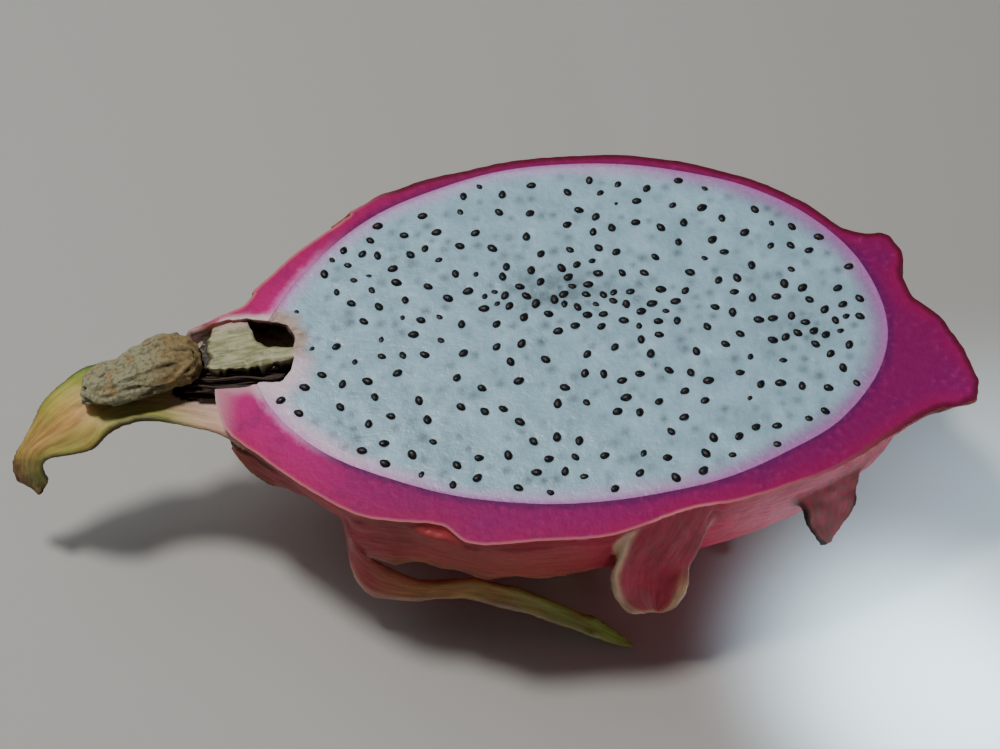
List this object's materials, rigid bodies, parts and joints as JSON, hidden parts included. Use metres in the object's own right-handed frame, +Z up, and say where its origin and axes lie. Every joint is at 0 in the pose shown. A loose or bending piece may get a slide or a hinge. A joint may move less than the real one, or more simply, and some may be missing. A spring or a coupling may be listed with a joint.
{
  "type": "half dragon fruit",
  "caption": "Half of a white-fleshed dragon fruit, cut lengthwise and lying cut face up, with scaly pink rind, seeded pulp and its withered flower.",
  "frame": {"origin": "middle of the foot of the object's box, on the surface that the fruit lies on", "axes": "+X from the blossom end with its withered flower to the stem end, +Z up and square to the cut face, +Y across"},
  "size_m": [0.1752, 0.0878, 0.0438],
  "materials": {
    "rind": "moist magenta cut face, waxy red-pink skin, scales turning yellow-green with dark dry margins",
    "pulp": "moist, translucent grey-white flesh with glossy black seeds",
    "withered_flower": "dry, wrinkled and matte, grey-brown"
  },
  "bodies": {
    "root": {"rind": "rind", "pulp": "pulp", "withered_flower": "withered_flower"}
  },
  "joints": []
}
